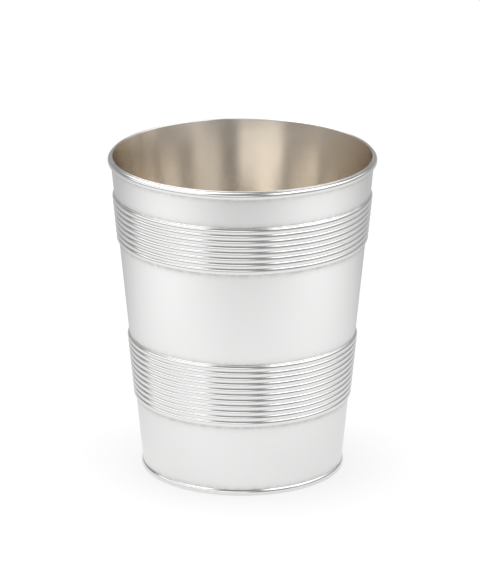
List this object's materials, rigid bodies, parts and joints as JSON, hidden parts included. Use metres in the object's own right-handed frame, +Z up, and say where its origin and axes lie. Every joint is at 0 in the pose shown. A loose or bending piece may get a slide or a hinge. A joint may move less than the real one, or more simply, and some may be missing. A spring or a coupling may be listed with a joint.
{
  "type": "julep cup",
  "caption": "Tapered silver julep cup with a gilt inside, reeded bands round the wall, and a half-round wire at the lip and at the foot, for serving an iced drink.",
  "frame": {"origin": "centre of the circle that the foot stands on, at the level of the table", "axes": "+Z up along the cup's axis, from the foot to the mouth; the cup is a body of revolution, so X and Y are free, and the pictured side faces -Y"},
  "size_m": [0.0876, 0.0876, 0.106],
  "materials": {
    "polished_silver": "polished",
    "drawn_silver": "polished",
    "gilt": "polished"
  },
  "bodies": {
    "root": {"cup_wall": "polished_silver", "bottom_disc": "polished_silver", "gilt_lining": "gilt", "lip_wire": "drawn_silver", "foot_wire": "drawn_silver", "upper_reeded_band": "drawn_silver", "lower_reeded_band": "drawn_silver"}
  },
  "joints": []
}
